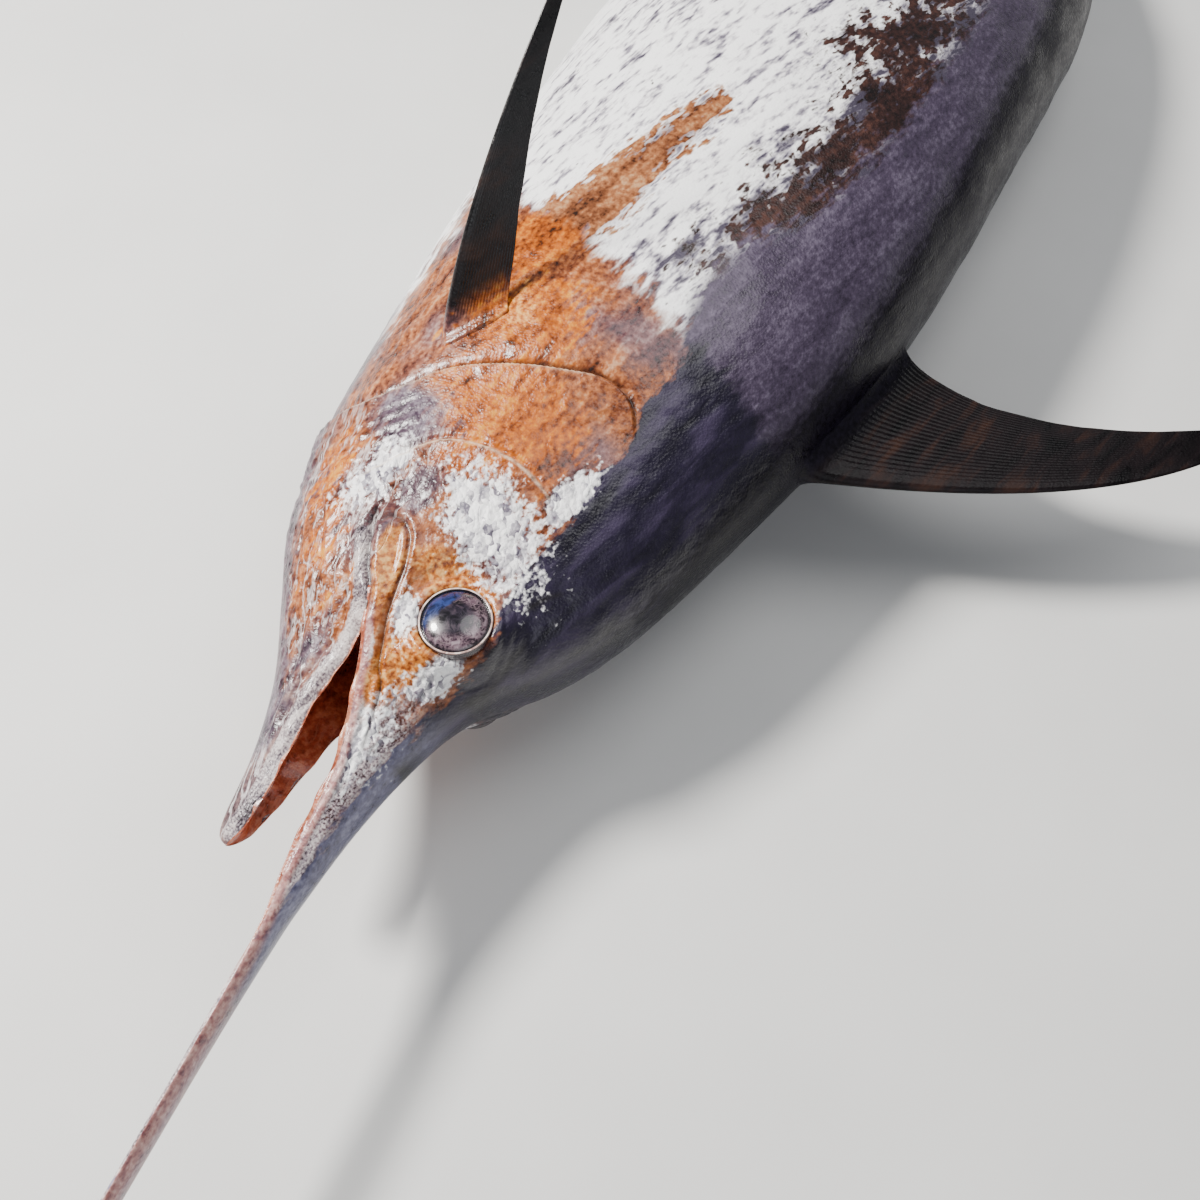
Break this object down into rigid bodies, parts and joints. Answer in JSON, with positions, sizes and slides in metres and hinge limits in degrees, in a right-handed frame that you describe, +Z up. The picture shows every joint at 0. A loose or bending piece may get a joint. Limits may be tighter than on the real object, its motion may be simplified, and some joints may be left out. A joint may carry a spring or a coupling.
{
  "type": "swordfish",
  "caption": "Life-size still model of a swordfish lying on its left side, bill forward, mouth partly open, right pectoral fin raised.",
  "frame": {"origin": "middle of the model's box on the floor it lies on", "axes": "-X toward the tip of the bill, -Y toward the back and the first dorsal fin, +Y toward the belly, +Z up, out of the right flank"},
  "size_m": [3.93, 1.2348, 0.6239],
  "materials": {
    "bill_skin": "smooth grey-purple skin, pale and speckled along one edge, wet sheen",
    "head_skin": "scaleless copper and bronze skin going slate-purple toward the back, wet sheen",
    "flank_skin": "scaleless silver-white skin with copper streaks and a dark slate back, wet sheen",
    "fin_skin": "brown-black rayed fin skin with a brown sheen",
    "eye": "dark glassy dome over a purple-brown iris"
  },
  "bodies": {
    "root": {"bill": "bill_skin", "head": "head_skin", "lower_jaw": "head_skin", "eye_right": "eye", "eye_left": "eye", "gill_cover_right": "head_skin", "gill_cover_left": "head_skin", "trunk_front": "flank_skin", "trunk_rear": "flank_skin", "tail_stem": "flank_skin", "first_dorsal_fin": "fin_skin", "second_dorsal_fin": "fin_skin", "first_anal_fin": "fin_skin", "second_anal_fin": "fin_skin", "pectoral_fin_right": "fin_skin", "pectoral_fin_left": "fin_skin", "tail_lobe_upper": "fin_skin", "tail_lobe_lower": "fin_skin"}
  },
  "joints": []
}
